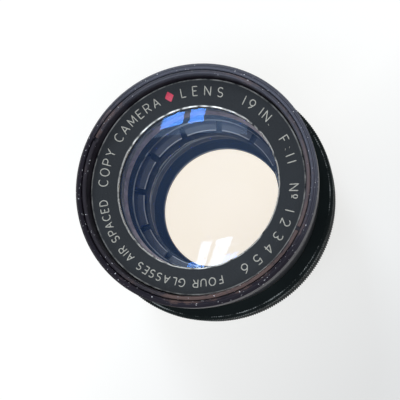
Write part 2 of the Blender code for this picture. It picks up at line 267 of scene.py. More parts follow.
def spin(points, steps, reach=None):
    """A closed turned mesh. reach(radius, height, step) may change a point's radius."""
    mesh = bpy.data.meshes.new("turned")
    verts, faces = [], []
    count = len(points)
    for step in range(steps):
        angle = math.tau * step / steps
        cosine, sine = math.cos(angle), math.sin(angle)
        for radius, height, _ in points:
            if reach:
                radius = reach(radius, height, step)
            verts.append((radius * cosine * MM, radius * sine * MM, height * MM))
    for step in range(steps):
        this, following = step * count, ((step + 1) % steps) * count
        for i in range(count):
            j = (i + 1) % count
            faces.append((this + i, this + j, following + j, following + i))
    mesh.from_pydata(verts, [], faces)
    mesh.update()
    return mesh


def paint_wear(mesh, points):
    """Store how rubbed each vertex is, read from the outline point nearest to it."""
    tree = KDTree(len(points))
    for i, (radius, height, _) in enumerate(points):
        tree.insert((radius, height, 0), i)
    tree.balance()
    layer = mesh.attributes.new("wear", "FLOAT", "POINT")
    for vertex in mesh.vertices:
        flat = (math.hypot(vertex.co.x, vertex.co.y) / MM, vertex.co.z / MM, 0)
        layer.data[vertex.index].value = points[tree.find(flat)[1]][2]


def turned(node, outline, material, body="barrel", steps=FINE, cuts=(), reach=None):
    """A turned piece in a node's place, cut by tools, with its worn edges marked."""
    points = rounded(outline)
    obj = link_object(node, spin(points, steps, reach))
    for tool in cuts:
        cut(obj, tool)
    settle(obj)
    paint_wear(obj.data, points)
    obj.data.materials.clear()
    obj.data.materials.append(material)
    finish_piece(obj, body, node)
    return obj


# -------- materials
class Look:
    """A node material with a Principled shader and a few shorthands."""

    def __init__(self, name, colour=(0.5, 0.5, 0.5), roughness=0.5, metallic=0.0):
        self.material = bpy.data.materials.new(name)
        self.material.use_nodes = True
        self.tree = self.material.node_tree
        self.shader = self.tree.nodes["Principled BSDF"]
        self.output = self.tree.nodes["Material Output"]
        self.set("Base Color", (*colour, 1))
        self.set("Roughness", roughness)
        self.set("Metallic", metallic)
        self.place = self.add("ShaderNodeTexCoord").outputs["Object"]

    def set(self, socket, value):
        self.shader.inputs[socket].default_value = value

    def add(self, kind, **settings):
        node = self.tree.nodes.new(kind)
        for key, value in settings.items():
            setattr(node, key, value)
        return node

    def join(self, source, target):
        self.tree.links.new(source, target)

    def math(self, operation, first, second=0.0, clamp=False):
        node = self.add("ShaderNodeMath", operation=operation, use_clamp=clamp)
        for socket, value in zip(node.inputs, (first, second)):
            if isinstance(value, (int, float)):
                socket.default_value = value
            else:
                self.join(value, socket)
        return node.outputs[0]

    def noise(self, scale, detail=4.0, roughness=0.55, place=None):
        node = self.add("ShaderNodeTexNoise")
        node.inputs["Scale"].default_value = scale
        node.inputs["Detail"].default_value = detail
        node.inputs["Roughness"].default_value = roughness
        self.join(place or self.place, node.inputs["Vector"])
        return node.outputs["Fac"]

    def ramp(self, value, low, high, start=0.0, end=1.0):
        """Value mapped from low..high to start..end, held at both ends."""
        node = self.add("ShaderNodeMapRange", clamp=True)
        self.join(value, node.inputs["Value"])
        for socket, number in zip(("From Min", "From Max", "To Min", "To Max"),
                                  (low, high, start, end)):
            node.inputs[socket].default_value = number
        return node.outputs["Result"]

    def mix(self, factor, first, second):
        node = self.add("ShaderNodeMix", data_type="RGBA")
        self.join(factor, node.inputs["Factor"])
        for socket, value in ((node.inputs[6], first), (node.inputs[7], second)):
            if isinstance(value, tuple):
                socket.default_value = (*value, 1)
            else:
                self.join(value, socket)
        return node.outputs[2]

    def wear(self):
        return self.add("ShaderNodeAttribute", attribute_name="wear").outputs["Fac"]

    def axes(self):
        """X, Y and Z of the place, in metres."""
        node = self.add("ShaderNodeSeparateXYZ")
        self.join(self.place, node.inputs[0])
        return node.outputs

    def turning(self, scale):
        """Fine rings left by the lathe: noise that varies only with radius and height."""
        x, y, z = self.axes()
        squares = self.math("ADD", self.math("MULTIPLY", x, x), self.math("MULTIPLY", y, y))
        flat = self.add("ShaderNodeCombineXYZ")
        self.join(self.math("SQRT", squares), flat.inputs["X"])
        self.join(z, flat.inputs["Y"])
        return self.noise(scale, 3.0, 0.6, flat.outputs[0])

    def bump(self, height, strength, distance=0.0001):
        node = self.add("ShaderNodeBump")
        node.inputs["Strength"].default_value = strength
        node.inputs["Distance"].default_value = distance
        self.join(height, node.inputs["Height"])
        self.join(node.outputs[0], self.shader.inputs["Normal"])

    def colour(self, source):
        self.join(source, self.shader.inputs["Base Color"])

    def roughness(self, source):
        self.join(source, self.shader.inputs["Roughness"])

    def metallic(self, source):
        self.join(source, self.shader.inputs["Metallic"])


# The second colour is the painted sheen laid on the front of the rim and the lock ring.
FLECK, PAINTED_SHEEN_COLOUR = (0.75, 0.74, 0.76), (0.17, 0.18, 0.225)
METAL_SHARE = 0.6  # how metallic an edge is where it is rubbed bare
BARE_FROM, BARE_OVER = 1.35, 0.16  # wear plus noise where metal starts to show, and fully shows
HELD_WITHIN = 0.030  # metres to each side over which the handled side fades in


def enamel(name, colour, bare, roughness, worn, lathe=0.3, chips=0.0, relief=0.35, gloss=0.5,
           handled=0.0, streaks=0.0):
    """Black enamel or anodising, rubbed through to bare metal along its edges.

    handled rubs the +X side more. streaks lays the rubbing along lathe bands, and paints a lighter
    bluish sheen on lathe bands of the front, strongest towards +Y: a painted sheen where the light
    falls.
    """
    look = Look(name)
    look.set("Specular IOR Level", gloss)
    patches = look.noise(260, 5.0, 0.65)
    cloud = look.noise(70, 3.0)
    rubbed = look.math("MULTIPLY", look.wear(), look.ramp(cloud, 0.3, 0.7, 0.55, 1.25))
    x, y, z = look.axes()
    held = look.ramp(x, -HELD_WITHIN, HELD_WITHIN, -handled, handled)
    rubbed = look.math("ADD", rubbed, held)
    bands = look.turning(3600)
    bareness = look.math("SUBTRACT", look.math("ADD", rubbed, patches), BARE_FROM - worn)
    if streaks:
        bareness = look.math("ADD", bareness, look.ramp(bands, 0.35, 0.65, -0.22, 0.16))
    mask = look.ramp(bareness, 0.0, BARE_OVER)
    shade = look.mix(look.ramp(cloud, 0.3, 0.7), colour, tuple(c * 1.5 for c in colour))
    shade = look.mix(mask, shade, bare)
    # Painted sheen: a lighter bluish colour on lathe bands of the front face, strongest towards +Y
    # and +X, where the light falls.
    if streaks:
        lean = look.math("ADD", y, look.math("MULTIPLY", x, 0.6))
        painted_sheen_mask = look.math("MULTIPLY", look.ramp(bands, 0.58, 0.42),
                           look.ramp(lean, -0.006, 0.028, 0.0, streaks))
        front = look.ramp(z, (RIM_TOP - 3) * MM, (RIM_TOP - 1) * MM)
        painted_sheen_mask = look.math("MULTIPLY", painted_sheen_mask, front)
        shade = look.mix(painted_sheen_mask, shade, PAINTED_SHEEN_COLOUR)
    if chips:
        flakes = look.noise(1500, 1.0, 0.5)
        spots = look.ramp(flakes, 0.76 - 0.1 * chips, 0.78 - 0.1 * chips)
        spots = look.math("MULTIPLY", spots, look.wear(), clamp=True)
        shade = look.mix(spots, shade, FLECK)
    look.colour(shade)
    look.metallic(look.math("MULTIPLY", mask, METAL_SHARE))
    rings = look.turning(9000)
    finish = look.math("ADD", look.ramp(patches, 0.3, 0.7, -0.05, 0.07), roughness)
    finish = look.math("ADD", finish, look.ramp(rings, 0.3, 0.7, -0.05, 0.05))
    look.roughness(look.math("ADD", finish, look.math("MULTIPLY", mask, 0.14)))
    height = look.math("ADD", look.math("MULTIPLY", rings, lathe),
                       look.math("MULTIPLY", mask, -0.6))
    look.bump(height, relief, 0.00006)
    return look.material


def slate_face():
    """Matte slate-black enamel with a faint grain, dust, fine turning marks and pale bare edges,
    partly wear and partly a painted highlight.
    """
    dark, pale = (0.009, 0.0115, 0.0145), (0.014, 0.0175, 0.022)
    dusty, bare = (0.20, 0.20, 0.21), (0.62, 0.61, 0.57)
    look = Look("slate_enamel")
    look.set("Specular IOR Level", 0.45)
    grain = look.noise(2600, 3.0, 0.6)
    cloud = look.noise(45, 4.0)
    shade = look.mix(look.ramp(cloud, 0.3, 0.7), dark, pale)
    dust = look.ramp(look.noise(1500, 2.0), 0.70, 0.76, 0.0, 0.15)
    shade = look.mix(dust, shade, dusty)
    edge = look.math("MULTIPLY", look.wear(), look.ramp(look.noise(300, 4.0), 0.35, 0.6))
    look.colour(look.mix(edge, shade, bare))
    look.metallic(look.math("MULTIPLY", edge, METAL_SHARE))
    look.roughness(look.math("SUBTRACT", look.ramp(grain, 0.3, 0.7, 0.60, 0.74),
                             look.math("MULTIPLY", edge, 0.3, clamp=True)))
    rings = look.turning(7000)
    look.bump(look.math("ADD", grain, rings), 0.22, 0.00005)
    return look.material


def filled_paint(name, colour, dirt):
    """Paint rubbed into an engraving, with grime in its pits."""
    look = Look(name)
    grime = look.noise(2400, 4.0, 0.7)
    look.colour(look.mix(look.ramp(grime, 0.42, 0.72, 0.0, 0.6), colour, dirt))
    look.roughness(look.ramp(grime, 0.3, 0.7, 0.35, 0.6))
    look.bump(grime, 0.3, 0.00005)
    return look.material


def steel(name, colour, roughness):
    """Blued steel with fine scratches."""
    look = Look(name, metallic=0.9)
    streaks = look.turning(12000)
    blotch = look.noise(500, 4.0)
    look.colour(look.mix(look.ramp(blotch, 0.3, 0.7), colour, tuple(c * 1.8 for c in colour)))
    look.roughness(look.ramp(streaks, 0.3, 0.7, roughness - 0.08, roughness + 0.1))
    look.bump(streaks, 0.2, 0.00004)
    return look.material


def optical_glass(name, tint):
    """Clean coated glass. Lamp light passes straight through it, as through a thin pane."""
    look = Look(name, colour=(1.0, 1.0, 1.0), roughness=0.0)
    look.set("Transmission Weight", 1.0)
    look.set("IOR", 1.52)
    look.set("Specular Tint", (*tint, 1))
    clear = look.add("ShaderNodeBsdfTransparent")
    clear.inputs["Color"].default_value = (0.93, 0.955, 0.98, 1)
    path = look.add("ShaderNodeLightPath")
    passing = look.math("MAXIMUM", path.outputs["Is Shadow Ray"], path.outputs["Is Diffuse Ray"])
    blend = look.add("ShaderNodeMixShader")
    look.join(passing, blend.inputs[0])
    look.join(look.shader.outputs[0], blend.inputs[1])
    look.join(clear.outputs[0], blend.inputs[2])
    look.join(blend.outputs[0], look.output.inputs["Surface"])
    return look.material


# -------- engraved letters
def bow(cx, cy, rx, ry, start, end, steps=12):
    """Points along part of an ellipse, from start to end degrees."""
    angles = [math.radians(start + (end - start) * i / steps) for i in range(steps + 1)]
    return [(cx + rx * math.cos(a), cy + ry * math.sin(a)) for a in angles]


def upside_down(width, strokes):
    return width, [[(width - x, 1 - y) for x, y in stroke] for stroke in strokes]


SIX = (0.62, [[(0.50, 1.0), (0.22, 0.76), (0.04, 0.45)]
              + bow(0.31, 0.31, 0.31, 0.31, 165, 525, 22)])

# Each glyph: its width, then its strokes, for a letter one unit high.
GLYPHS = {
    " ": (0.30, []),
    ".": (0.02, [[(0.0, 0.0), (0.02, 0.03)]]),
    ":": (0.02, [[(0.0, 0.22), (0.02, 0.25)], [(0.0, 0.70), (0.02, 0.73)]]),
    "A": (0.76, [[(0, 0), (0.38, 1), (0.76, 0)], [(0.13, 0.34), (0.63, 0.34)]]),
    "C": (0.72, [bow(0.42, 0.5, 0.42, 0.5, 48, 312, 20)]),
    "D": (0.72, [[(0, 0), (0, 1)] + bow(0.28, 0.5, 0.44, 0.5, 90, -90, 14) + [(0, 0)]]),
    "E": (0.56, [[(0.56, 1), (0, 1), (0, 0), (0.56, 0)], [(0, 0.52), (0.46, 0.52)]]),
    "F": (0.54, [[(0.54, 1), (0, 1), (0, 0)], [(0, 0.52), (0.44, 0.52)]]),
    "G": (0.78, [bow(0.42, 0.5, 0.42, 0.5, 48, 345, 22) + [(0.82, 0.45), (0.50, 0.45)]]),
    "I": (0.0, [[(0, 0), (0, 1)]]),
    "L": (0.54, [[(0, 1), (0, 0), (0.54, 0)]]),
    "M": (0.86, [[(0, 0), (0.05, 1), (0.43, 0.2), (0.81, 1), (0.86, 0)]]),
    "N": (0.70, [[(0, 0), (0, 1), (0.70, 0), (0.70, 1)]]),
    "O": (0.84, [bow(0.42, 0.5, 0.42, 0.5, 90, 450, 28)]),
    "P": (0.60, [[(0, 0), (0, 1)] + bow(0.34, 0.73, 0.28, 0.27, 90, -90) + [(0, 0.46)]]),
    "R": (0.64, [[(0, 0), (0, 1)] + bow(0.34, 0.74, 0.28, 0.26, 90, -90) + [(0, 0.48)],
                 [(0.32, 0.48), (0.64, 0)]]),
    "S": (0.62, [bow(0.31, 0.74, 0.29, 0.26, 35, 270) + bow(0.31, 0.25, 0.31, 0.25, 90, -150)[1:]]),
    "U": (0.68, [[(0, 1)] + bow(0.34, 0.34, 0.34, 0.34, 180, 360) + [(0.68, 1)]]),
    "Y": (0.74, [[(0, 1), (0.37, 0.48), (0.74, 1)], [(0.37, 0.48), (0.37, 0)]]),
    "1": (0.0, [[(0, 0), (0, 1)]]),
    "2": (0.62, [bow(0.31, 0.70, 0.30, 0.30, 165, -35) + [(0, 0), (0.62, 0)]]),
    "3": (0.62, [bow(0.30, 0.75, 0.27, 0.25, 150, -90) + bow(0.30, 0.25, 0.31, 0.25, 90, -150)[1:]]),
    "4": (0.64, [[(0.48, 0), (0.48, 1), (0, 0.28), (0.64, 0.28)]]),
    "5": (0.62, [[(0.56, 1), (0.10, 1), (0.04, 0.54)] + bow(0.30, 0.32, 0.32, 0.32, 128, -150, 16)]),
    "6": SIX,
    "9": upside_down(*SIX),
    "o": (0.36, [bow(0.18, 0.76, 0.18, 0.24, 90, 450, 16), [(0.0, 0.38), (0.36, 0.38)]]),
}


class Engraving:
    """Single-stroke letters laid on a surface as paint-filled grooves."""

    def __init__(self, name, material, body, width):
        self.curve = bpy.data.curves.new(name, "CURVE")
        self.curve.dimensions = "3D"
        self.curve.bevel_depth = width / 2 * MM
        self.curve.bevel_resolution = 2
        self.curve.use_fill_caps = True
        self.curve.materials.append(material)
        self.object = link_object(name, self.curve)
        self.body = body

    def stroke(self, points):
        """One groove through 3-D points in metres, with rounded ends, or a round dot."""
        dot = len(points) == 2
        spline = self.curve.splines.new("POLY")
        spline.points.add(len(points) - 1)
        for i, point in enumerate(points):
            spline.points[i].co = (*point, 1)
            at_end = i in (0, len(points) - 1)
            spline.points[i].radius = 1.6 if dot else 0.6 if at_end else 1.0

    def finish(self, slot):
        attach(self.object, self.body)


def dense(stroke, step=0.12):
    """Points added along a stroke so that it can follow a curved surface."""
    found = [stroke[0]]
    for (x0, y0), (x1, y1) in zip(stroke, stroke[1:]):
        pieces = max(1, math.ceil(math.hypot(x1 - x0, y1 - y0) / step))
        for i in range(1, pieces + 1):
            found.append((x0 + (x1 - x0) * i / pieces, y0 + (y1 - y0) * i / pieces))
    return found


def write(engraving, text, length, height, place):
    """Lay text along `length`; place(u, v) gives the point for millimetres along and up."""
    widths = [GLYPHS[letter][0] * height for letter in text]
    gap = (length - sum(widths)) / max(1, len(text) - 1)
    along = 0.0 if len(text) > 1 else (length - widths[0]) / 2
    for letter, width in zip(text, widths):
        for stroke in GLYPHS[letter][1]:
            points = [place(along + x * height, y * height) for x, y in dense(stroke)]
            engraving.stroke(points)
        along += width + gap


# -------- name ring
NAME_TOP, NAME_OUTER = top("name_ring"), 35.0  # high edge of the sloping face
NAME_INNER_Z, NAME_INNER = 53.6, 27.3  # low edge of the sloping face
LETTER_R, LETTER_SINK = 31.4, 0.10  # middle of the lettering, and its depth
LOZENGE_AT, LOZENGE_HALF, LOZENGE_LIFT = -253.5, 1.8, 0.06
# Text, from and to degrees clockwise, letter height
RING_TEXTS = (("COPY CAMERA", 182, 246.5, 2.85), ("LENS", 261, 287, 2.85), ("19", 301, 308, 3.0),
              ("IN.", 313.5, 322.5, 2.85), ("F:11", 334, 349.5, 3.0), ("No", 2.5, 10.5, 2.9),
              ("123456", 18, 61.5, 3.1), ("FOUR GLASSES AIR SPACED", 74, 173, 2.4))


def name_face(radius, degrees, sink=0.0):
    """A point on the name ring's sloping face."""
    slope = (NAME_TOP - NAME_INNER_Z) / (NAME_OUTER - NAME_INNER)
    return on_circle(radius, degrees, NAME_INNER_Z + (radius - NAME_INNER) * slope - sink)


def letter_on_ring(engraving, text, start, end, height):
    """Text running clockwise, seen from the front, from start to end degrees."""
    length = math.radians(end - start) * LETTER_R

    def place(u, v):
        degrees = -start - math.degrees(u / LETTER_R)
        return name_face(LETTER_R - height / 2 + v, degrees, LETTER_SINK)

    write(engraving, text, length, height, place)


def build_name_ring(looks):
    turned("name_ring", corners(
        (NAME_OUTER, NAME_TOP, 0.08, 0.55), (35.2, 55.6, 0.05, 0.55), (35.2, 54.8), (36.7, 54.8),
        (36.7, 52.2), (CELL_BORE_R, 52.2), (CELL_BORE_R, 52.9), (26.4, 52.9, 0.03, 1.0),
        # Wear 2.2 on the inner bevel gives pale bare metal all round: partly wear, partly a painted
        # highlight along the bevel.
        (26.4, 53.2, 0.16, 2.2), (NAME_INNER, NAME_INNER_Z, 0.03, 0.0),
        wear=0.0), looks["slate"])
    letters = Engraving("ring_lettering", looks["silver_paint"], "barrel", 0.40)
    for text, start, end, height in RING_TEXTS:
        letter_on_ring(letters, text, start, end, height)
    letters.finish("slate_enamel")
    build_index_lozenge(looks["red_paint"])


def build_index_lozenge(material):
    """A red lozenge let into the name ring between the two words."""
    shape = bmesh.new()
    sides = 32
    middle = name_face(LETTER_R, LOZENGE_AT)
    out = (name_face(LETTER_R + 1, LOZENGE_AT) - middle).normalized()
    side = Vector((0, 0, 1)).cross(out).normalized()
    up = out.cross(side)
    rim = []
    for level, size in ((-0.3, 1.0), (LOZENGE_LIFT - 0.05, 1.0), (LOZENGE_LIFT, 0.9)):
        ring = []
        for step in range(sides):
            angle = math.tau * step / sides
            reach = LOZENGE_HALF / (abs(math.cos(angle)) + abs(math.sin(angle))) ** 0.85
            offset = (out * math.cos(angle) + side * math.sin(angle) * 0.85) * reach * size
            ring.append(shape.verts.new(middle + (offset + up * level) * MM))
        rim.append(ring)
    for low, high in zip(rim, rim[1:]):
        for i in range(sides):
            j = (i + 1) % sides
            shape.faces.new((low[i], low[j], high[j], high[i]))
    shape.faces.new(rim[-1])
    shape.faces.new(rim[0][::-1])
    bmesh.ops.recalc_face_normals(shape, faces=shape.faces)
    mesh = baked("red_lozenge", shape)
    shade_by_angle(mesh)
    obj = add_mesh("red_lozenge", mesh, material, "barrel")


# -------- front pieces
def rim_screw_tool(inner):
    """The grub screws' holes, from a radius outwards."""
    return rod_tool([through(inner, PAST_RIM_R, degrees, RIM_SCREW_Z, RIM_HOLE_R)
                     for degrees in RIM_SCREWS])


def build_front(looks):
    turned("front_rim", corners(
        (38.1, RIM_TOP, 0.25, 0.8), (RIM_R, 59.2, 0.25, 0.8), (RIM_R, 54.0, 0.3, 0.6),
        (BARREL_R, 52.4, 0.3), (BARREL_R, 50.9), (37.3, 50.7), (37.3, 50.2), (BARREL_R, 50.0),
        (BARREL_R, SLEEVE_BOTTOM, 0.2, 0.8), (36.3, SLEEVE_BOTTOM), (36.3, NECK_TOP, 0, 0),
        (37.0, NECK_TOP, 0, 0),
        *thread(37.0, -0.18, 53.0, 58.8, 0.7, 0.2), (37.0, 59.6, 0.1, 0.9),
        (37.25, RIM_TOP, 0.2, 1.0)), looks["rim"], cuts=[rim_screw_tool(35.0)])

    notches = box_tool([((3.0, 1.3, 1.7), 36.1, 59.5, degrees) for degrees in LOCK_NOTCHES])
    turned("lock_ring", corners(
        (36.6, 59.5, 0.2, 1.0), (36.85, 59.25, 0.1, 1.0), (36.85, 55.1), (35.5, 55.1),
        (35.5, 59.0, 0.1, 1.0), (35.85, 59.4, 0.2, 1.0)), looks["lock"], cuts=[notches])

    turned("front_cell", corners(
        (CELL_R, NECK_TOP), (CELL_R, 33.3), (28.0, 33.3), (28.0, 35.9),
        (CELL_LIP_R, 35.9, 0.1, 0.5), (CELL_LIP_R, 36.7, 0.15, 0.9),
        (CELL_BORE_R, 36.7), (CELL_BORE_R, NECK_TOP)), looks["inside"])

    spacer = turned("front_spacer", corners(
        (GLASS_R, 49.3, 0.05), (GLASS_R, 42.6, 0.05), (25.2, 42.6, 0.12, 0.9),
        (26.3, 44.6, 0.05, 0.3), *thread(26.3, -0.2, 44.9, 48.9, 1.0, 0.75),
        (26.3, 49.2, 0.1, 0.3)), looks["inside"])
    bare_cone(spacer, 42.7, 44.5, 26.6, looks["bare_bevel"])
    build_rim_screws(looks["steel"])


def bare_cone(obj, low, high, inside, material):
    """Leave the faces between two heights and inside a radius in bare metal."""
    obj.data.materials.append(material)
    for face in obj.data.polygons:
        height, radius = face.center.z / MM, face.center.xy.length / MM
        if low < height < high and radius < inside:
            face.material_index = 1


def build_rim_screws(material):
    """Slotted grub screws sunk in the rim's sleeve."""
    for number, degrees in enumerate(RIM_SCREWS, 1):
        mesh = screw_mesh([(0.0, 0.0), (1.12, 0.0), (1.12, 2.55), (0.95, 2.75), (0.0, 2.75)],
                          slot_width=0.42, slot_depth=0.9)
        mesh.transform(radial(34.7, degrees, RIM_SCREW_Z))
        add_mesh("rim_screw_%d" % number, mesh, material, "barrel", "rim_lock_screw_%d" % number)


def revolved(outline, steps):
    """A bmesh turned from an outline that starts and ends on the axis.

    It comes with its faces, a list for each side of the outline.
    """
    shape = bmesh.new()
    rings = []
    for radius, height in outline:
        places = steps if radius else 1
        rings.append([shape.verts.new(on_circle(radius, 360 * i / steps, height))
                      for i in range(places)])
    bands = []
    for first, second in zip(rings, rings[1:]):
        band = []
        for i in range(steps):
            j = (i + 1) % steps
            if len(first) == 1:
                around = (first[0], second[i], second[j])
            elif len(second) == 1:
                around = (first[j], first[i], second[0])
            else:
                around = (first[j], first[i], second[i], second[j])
            band.append(shape.faces.new(around))
        bands.append(band)
    return shape, bands


def screw_mesh(outline, slot_width, slot_depth):
    """A screw turned about Z from its tip to its head, with a driver slot on top."""
    shape, _ = revolved(outline, 48)
    bmesh.ops.recalc_face_normals(shape, faces=shape.faces)
    obj = link_object("screw", baked("screw", shape))
    head_top = max(height for _, height in outline)
    widest = 3 * max(radius for radius, _ in outline)
    cut(obj, box_tool([((widest, slot_width, 2 * slot_depth), 0, head_top, 0)]))
    mesh = obj.data
    bpy.data.objects.remove(obj)
    return mesh


# -------- the glasses
GLASS_CHAMFER = 0.25
# name: node, upper edge height and curve, lower edge height and curve, look. A curve is the
# sphere's radius, negative where the surface is hollow.
GLASSES = {
    "front_positive_glass": ("front_positive_lens", 52.5, 150.0, 49.6, 250.0, "front_glass"),
    "front_negative_glass": ("front_negative_lens", 42.3, -100.0, 37.0, -1200.0, "inner_glass"),
    "rear_negative_glass": ("rear_negative_lens", 21.6, -1200.0, 16.3, -100.0, "inner_glass"),
    "rear_positive_glass": ("rear_positive_lens", 13.1, 250.0, 10.2, 150.0, "rear_glass"),
}


def sag(radius, curve):
    """How far a sphere of radius `curve` falls at `radius` from its pole."""
    return curve - math.sqrt(curve * curve - radius * radius)


def cap(edge_height, curve, steps=20):
    """A spherical surface from the axis out to its ground chamfer."""
    bend = math.copysign(1, curve)
    limit = GLASS_R - GLASS_CHAMFER
    vertex = edge_height + bend * sag(GLASS_R, abs(curve))
    return [(limit * i / steps, vertex - bend * sag(limit * i / steps, abs(curve)))
            for i in range(steps + 1)]


def build_glasses(looks):
    for name, (node, upper_z, upper_curve, lower_z, lower_curve, look) in GLASSES.items():
        upper = cap(upper_z, upper_curve)
        lower = cap(lower_z, -lower_curve)
        edge = [(GLASS_R, upper[-1][1] - GLASS_CHAMFER), (GLASS_R, lower[-1][1] + GLASS_CHAMFER)]
        shape, bands = revolved(upper + edge + lower[::-1], 128)
        for index, band in enumerate(bands):
            ground = len(upper) - 1 <= index <= len(upper) + 1
            for face in band:
                face.material_index = 1 if ground else 0
                face.smooth = True
        mesh = baked(name, shape)
        mesh.set_sharp_from_angle(angle=math.radians(25))
        obj = add_mesh(name, mesh, looks[look], "barrel", node)
        obj.data.materials.append(looks["glass_edge"])


# -------- iris
def build_iris(looks):
    plate_bottom, plate_top = bottom("iris_base_plate"), top("iris_base_plate")
    plate_r = outer("iris_base_plate")
    pivots = [(on_circle(PIN_CIRCLE_R, PITCH * i, 20), on_circle(PIN_CIRCLE_R, PITCH * i, 27), 0.7)
              for i in range(BLADES)]
    turned("iris_base_plate", corners(
        (plate_r, plate_top), (plate_r, plate_bottom), (PLATE_BORE_R, plate_bottom, 0.1, 0.9),
        (PLATE_BORE_R, plate_top, 0.1, 0.9)),
        looks["inside"], cuts=[rod_tool(pivots, 16)])

    slot_in, slot_out, slot_width = DRIVE_SLOT
    slots = [((slot_out - slot_in, slot_width, 4.0), (slot_out + slot_in) / 2, 31.3,
              PITCH * i + BLADE_SPAN) for i in range(BLADES)]
    screw_hole = rod_tool([through(30.5, 33, DRIVE_SCREW_AT, DRIVE_SCREW_Z, DRIVE_HOLE_R)])
    drive_top, skirt_bottom = top("iris_drive_ring"), bottom("iris_drive_ring")
    skirt_r = outer("iris_drive_ring")
    turned("iris_drive_ring", corners(
        (skirt_r, drive_top), (skirt_r, skirt_bottom), (31.1, skirt_bottom), (31.1, 30.6),
        (PLATE_BORE_R, 30.6, 0.08, 0.0), (PLATE_BORE_R, 31.3, 0.08, 1.0),
        (24.7, drive_top, 0.05, 0.2), wear=0.2),
        looks["drive"], "aperture", cuts=[box_tool(slots), screw_hole])

    turned("iris_retainer", corners(
        (plate_r, CHAMBER_TOP), (plate_r, 32.3), (28.6, 32.3), (28.6, CHAMBER_TOP)),
        looks["inside"])

    for number in range(BLADES):
        mesh = blade_mesh()
        mesh.transform(Matrix.Translation((0, 0, BLADE_PIVOT_Z * MM)))
        mesh.transform(Matrix.Rotation(math.radians(PITCH * number), 4, "Z"))
        add_mesh("blade_leaf_%02d" % (number + 1), mesh, looks["blade"],
                 "blade_%02d" % (number + 1), "iris_blade_%02d" % (number + 1))


def blade_mesh():
    """A crescent leaf that climbs along its arc, with a riveted pin at each end."""
    along, across = 72, 4
    middle = (OPEN_R + BLADE_OUTER_R) / 2
    half_width = (BLADE_OUTER_R - OPEN_R) / 2
    shape = bmesh.new()
    grid = {}
    for i in range(along + 1):
        degrees = -BLADE_TAIL + (BLADE_SPAN + 2 * BLADE_TAIL) * i / along
        to_end = math.radians(min(degrees + BLADE_TAIL, BLADE_SPAN + BLADE_TAIL - degrees)) * middle
        reach = min(to_end, half_width)
        width = max(BLADE_TIP, math.sqrt(max(0.0, half_width ** 2 - (half_width - reach) ** 2)))
        for j in range(across + 1):
            radius = middle + width * (2 * j / across - 1)
            for side in (0, 1):
                height = degrees * BLADE_RISE + side * BLADE_THICK
                grid[i, j, side] = shape.verts.new(on_circle(radius, degrees, height))
    for i in range(along):
        for j in range(across):
            upper = ((i, j), (i, j + 1), (i + 1, j + 1), (i + 1, j))
            lower = ((i, j), (i + 1, j), (i + 1, j + 1), (i, j + 1))
            shape.faces.new([grid[p, q, 1] for p, q in upper])
            shape.faces.new([grid[p, q, 0] for p, q in lower])
        for j in (0, across):
            shape.faces.new([grid[i, j, 0], grid[i + 1, j, 0], grid[i + 1, j, 1], grid[i, j, 1]])
    for i in (0, along):
        for j in range(across):
            shape.faces.new([grid[i, j, 0], grid[i, j + 1, 0], grid[i, j + 1, 1], grid[i, j, 1]])
    bmesh.ops.recalc_face_normals(shape, faces=shape.faces)
    # The pivot pin reaches down into the base plate, and the drive pin up into its slot.
    drive_z = BLADE_SPAN * BLADE_RISE
    for degrees, low, high in ((0.0, -1.4, 0.12), (BLADE_SPAN, drive_z - 0.02, 5.7)):
        centre = on_circle(PIN_CIRCLE_R, degrees, (low + high) / 2)
        bmesh.ops.create_cone(shape, cap_ends=True, segments=24, radius1=PIN_R * MM,
                              radius2=PIN_R * MM, depth=(high - low) * MM,
                              matrix=Matrix.Translation(centre))
    mesh = baked("blade", shape)
    shade_by_angle(mesh)
    return mesh


# -------- barrel
STOPS = (11, 16, 22, 32, 45)
SCALE_START = 100.0  # degrees at which the index stands, iris fully open
SCALE_BOTTOM = 35.3  # rear edge of the band that carries the scale
SCALE_TEXT, SCALE_FOOT_Z = 2.1, 39.2  # height of the numbers, and where they stand
SCALE_LINE = (36.0, 37.2, 38.4)  # heights along the line under a number


def ring_turn_for(stop):
    """Degrees that the aperture ring turns from full aperture to an f-number."""
    opening = OPEN_R * STOPS[0] / stop
    return min(RING_TURN, 4 * math.degrees(math.asin((OPEN_R - opening) / (2 * PIN_CIRCLE_R))))


def sector_tool(inner, outside, low, high, start, end, steps=40):
    """Part of a flat ring, from start to end degrees."""
    def build(shape):
        rows = []
        for step in range(steps + 1):
            degrees = start + (end - start) * step / steps
            rows.append([shape.verts.new(on_circle(radius, degrees, height)) for radius, height in
                         ((inner, low), (outside, low), (outside, high), (inner, high))])
        for this, following in zip(rows, rows[1:]):
            for i in range(4):
                j = (i + 1) % 4
                shape.faces.new((this[i], this[j], following[j], following[i]))
        shape.faces.new(rows[0][::-1])
        shape.faces.new(rows[-1])
        bmesh.ops.recalc_face_normals(shape, faces=shape.faces)
    return tool_object(build)


